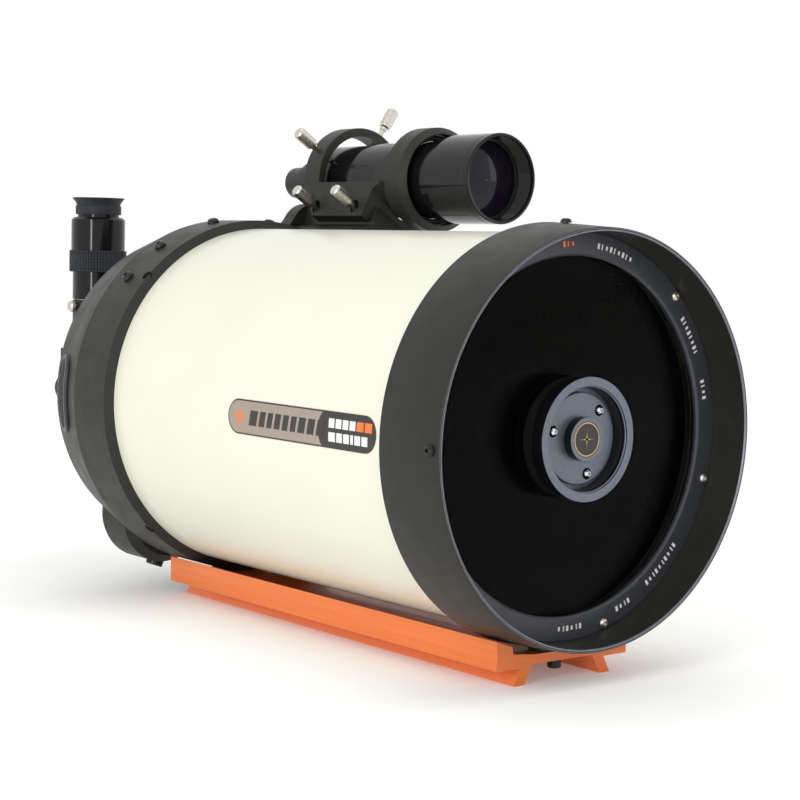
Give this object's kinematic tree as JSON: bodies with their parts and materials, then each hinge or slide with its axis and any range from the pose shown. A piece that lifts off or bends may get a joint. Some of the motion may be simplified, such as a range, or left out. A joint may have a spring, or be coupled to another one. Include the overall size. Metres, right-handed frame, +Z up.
{
  "type": "schmidt-cassegrain telescope",
  "caption": "Compact catadioptric telescope tube with cells, focusing mirror, secondary, vents, dovetail bar, straight finder on a slide-in bracket, star diagonal and eyepiece.",
  "frame": {"origin": "middle of the dovetail bar's base plane, midway along the bar and under the optical axis", "axes": "+Z up; the optical axis is parallel to Y and the aperture faces -Y; +X to the right when looking along +Y"},
  "size_m": [0.2488, 0.5651, 0.3327],
  "materials": {
    "cell_black": "fine textured black powder coat",
    "tube_paint": "satin pearl-white paint on aluminium",
    "black_metal": "black anodised",
    "gloss_black": "gloss black enamel",
    "grey_metal": "satin grey anodised",
    "orange_anodised": "satin orange anodised",
    "black_plastic": "matt black",
    "boss_plastic": "gloss black with a gold ring",
    "label_film": "satin grey and black film",
    "steel": "bright steel",
    "black_steel": "black oxide",
    "brass_part": "turned brass",
    "rubber_black": "matt black rubber",
    "corrector_glass": "coated optical glass",
    "mirror_glass": "aluminised optical glass",
    "lens_glass": "multi-coated optical glass",
    "baffle_black": "matt black"
  },
  "bodies": {
    "optical_tube": {"front_cell": "cell_black", "retaining_ring": "black_metal", "retaining_ring_screws": "steel", "front_cell_screws": "steel", "corrector_plate": "corrector_glass", "tube_shell": "tube_paint", "label_plate": "label_film", "rear_cell": "cell_black", "rear_cell_screws": "black_steel", "tube_screws": "black_steel", "vent_grille_left": "black_plastic", "vent_grille_right": "black_plastic", "secondary_housing": "black_plastic", "secondary_mount": "black_metal", "secondary_cap": "boss_plastic", "secondary_baffle": "baffle_black", "baffle_tube": "baffle_black", "field_lens": "lens_glass", "visual_back": "black_metal", "finder_shoe": "black_metal", "finder_shoe_screws": "steel", "dovetail_bar": "orange_anodised", "dovetail_spacers": "black_metal", "dovetail_bolts": "black_steel"},
    "primary": {"primary_mirror": "mirror_glass", "mirror_carrier": "black_metal", "mirror_lock_ring": "black_metal", "clutch_rods": "steel", "focus_screw": "steel"},
    "focuser": {"focus_nut": "brass_part", "focus_knob": "rubber_black"},
    "clutch_left": {"clutch_knob_left": "black_plastic"},
    "clutch_right": {"clutch_knob_right": "black_plastic"},
    "lock_ring": {"secondary_lock_ring": "grey_metal"},
    "collimator_1": {"collimation_screw_1": "steel"},
    "collimator_2": {"collimation_screw_2": "steel"},
    "collimator_3": {"collimation_screw_3": "steel"},
    "secondary": {"secondary_carrier": "black_metal", "secondary_mirror": "mirror_glass"},
    "visual_screw": {"visual_back_screw": "steel"},
    "diagonal": {"diagonal_nosepiece": "steel", "diagonal_body": "black_plastic", "diagonal_mirror": "mirror_glass", "diagonal_cover": "black_plastic"},
    "holder_screw": {"diagonal_screw": "steel"},
    "eyepiece": {"eyepiece_barrel": "steel", "eyepiece_body": "gloss_black", "eyepiece_grip": "rubber_black", "eyepiece_cup": "rubber_black", "eyepiece_lens": "lens_glass"},
    "bracket": {"finder_bracket": "black_metal"},
    "clamp_rear": {"finder_clamp_rear": "steel"},
    "clamp_front": {"finder_clamp_front": "steel"},
    "finder_pivot": {"finder_o_ring": "rubber_black"},
    "finder": {"finder_tube": "gloss_black", "finder_bell": "gloss_black", "finder_lens": "lens_glass", "finder_eyepiece": "black_metal"},
    "aim_screw_top": {"finder_screw_top": "steel"},
    "aim_screw_side": {"finder_screw_side": "steel"}
  },
  "joints": [
    {"name": "focus_turn", "type": "hinge", "parent": "optical_tube", "child": "focuser", "pos_m": [-0.036, 0.23375, 0.0713], "axis": [0, 1, 0], "range_deg": [-4320, 4320]},
    {"name": "mirror_focus", "type": "slide", "parent": "optical_tube", "child": "primary", "axis": [0, 1, 0], "range_m": [-0.009, 0.009]},
    {"name": "clutch_turn_left", "type": "hinge", "parent": "optical_tube", "child": "clutch_left", "pos_m": [-0.092, 0.22375, 0.1353], "axis": [0, 1, 0], "range_deg": [0, 360]},
    {"name": "clutch_turn_right", "type": "hinge", "parent": "optical_tube", "child": "clutch_right", "pos_m": [0.092, 0.22375, 0.1353], "axis": [0, 1, 0], "range_deg": [0, 360]},
    {"name": "lock_ring_turn", "type": "hinge", "parent": "optical_tube", "child": "lock_ring", "pos_m": [0, -0.17525, 0.1333], "axis": [0, -1, 0], "range_deg": [0, 30]},
    {"name": "collimation_turn_1", "type": "hinge", "parent": "optical_tube", "child": "collimator_1", "pos_m": [-0.01978, -0.17125, 0.13787], "axis": [0, -1, 0], "range_deg": [-360, 360]},
    {"name": "collimation_turn_2", "type": "hinge", "parent": "optical_tube", "child": "collimator_2", "pos_m": [0.01384, -0.17125, 0.14815], "axis": [0, -1, 0], "range_deg": [-360, 360]},
    {"name": "collimation_turn_3", "type": "hinge", "parent": "optical_tube", "child": "collimator_3", "pos_m": [0.00594, -0.17125, 0.11389], "axis": [0, -1, 0], "range_deg": [-360, 360]},
    {"name": "secondary_tilt", "type": "hinge", "parent": "optical_tube", "child": "secondary", "pos_m": [0, -0.16545, 0.1333], "axis": [-0.225, 0, -0.9744], "range_deg": [-1.31, 1.31]},
    {"name": "visual_screw_turn", "type": "hinge", "parent": "optical_tube", "child": "visual_screw", "pos_m": [-0.02252, 0.27675, 0.1463], "axis": [-0.866, 0, 0.5], "range_deg": [-720, 720]},
    {"name": "diagonal_swivel", "type": "hinge", "parent": "optical_tube", "child": "diagonal", "pos_m": [0, 0.29875, 0.1333], "axis": [0, 1, 0], "continuous": true},
    {"name": "holder_screw_turn", "type": "hinge", "parent": "diagonal", "child": "holder_screw", "pos_m": [-0.022, 0.35275, 0.1849], "axis": [-1, 0, 0], "range_deg": [-720, 720]},
    {"name": "eyepiece_slide", "type": "slide", "parent": "diagonal", "child": "eyepiece", "axis": [0, 0, 1], "range_m": [0, 0.033]},
    {"name": "finder_bracket_slide", "type": "slide", "parent": "optical_tube", "child": "bracket", "axis": [0, -1, 0], "range_m": [0, 0.08]},
    {"name": "clamp_turn_rear", "type": "hinge", "parent": "bracket", "child": "clamp_rear", "pos_m": [0.04437, 0.15125, 0.26772], "axis": [-0.8387, 0, 0.5446], "range_deg": [-720, 720]},
    {"name": "clamp_turn_front", "type": "hinge", "parent": "bracket", "child": "clamp_front", "pos_m": [0.04437, 0.10775, 0.26772], "axis": [-0.8387, 0, 0.5446], "range_deg": [-720, 720]},
    {"name": "finder_tilt", "type": "hinge", "parent": "bracket", "child": "finder_pivot", "pos_m": [0.09482, 0.07375, 0.27931], "axis": [0.8387, 0, -0.5446], "range_deg": [-1.2, 1.2]},
    {"name": "finder_yaw", "type": "hinge", "parent": "finder_pivot", "child": "finder", "pos_m": [0.09482, 0.07375, 0.27931], "axis": [0.5446, 0, 0.8387], "range_deg": [-1.2, 1.2]},
    {"name": "aim_screw_top_travel", "type": "slide", "parent": "bracket", "child": "aim_screw_top", "axis": [0.5446, 0, 0.8387], "range_m": [-0.0019, 0.0019]},
    {"name": "aim_screw_side_travel", "type": "slide", "parent": "bracket", "child": "aim_screw_side", "axis": [-0.8387, 0, 0.5446], "range_m": [-0.0019, 0.0019]}
  ],
  "couplings": [
    {"joint": "mirror_focus", "follows": "focus_turn", "m_per_rad": 0.00011937},
    {"joint": "collimation_turn_1", "follows": "secondary_tilt", "ratio": 273.97},
    {"joint": "aim_screw_top_travel", "follows": "finder_tilt", "m_per_rad": 0.087},
    {"joint": "aim_screw_side_travel", "follows": "finder_yaw", "m_per_rad": 0.087}
  ]
}
